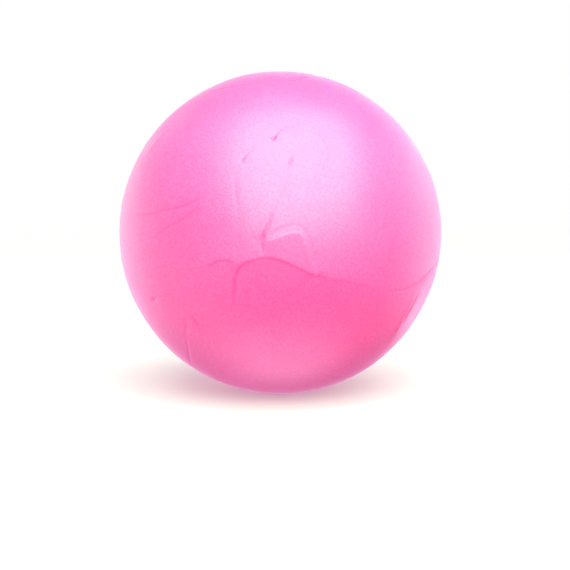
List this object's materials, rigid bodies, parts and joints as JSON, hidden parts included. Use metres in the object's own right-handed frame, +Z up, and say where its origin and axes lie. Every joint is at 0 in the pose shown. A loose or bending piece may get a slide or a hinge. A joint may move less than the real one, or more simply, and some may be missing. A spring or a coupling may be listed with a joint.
{
  "type": "soft exercise ball",
  "caption": "Small soft inflatable exercise ball in pink pebble-grained vinyl, with a valve insert and a pull-out plug.",
  "frame": {"origin": "centre of the ball", "axes": "+Z up, square to the small flat the ball stands on; +Y out through the valve; -Y the side without a valve"},
  "size_m": [0.19, 0.19, 0.1886],
  "materials": {
    "skin": "satin, pearl pink, fine pebble grain",
    "insert": "satin",
    "plug": "satin white"
  },
  "bodies": {
    "ball": {"ball_skin": "skin", "valve_insert": "insert"},
    "plug": {"valve_plug": "plug"}
  },
  "joints": [
    {"name": "plug_pull", "type": "slide", "parent": "ball", "child": "plug", "axis": [0, 1, 0], "range_m": [0, 0.018]}
  ]
}
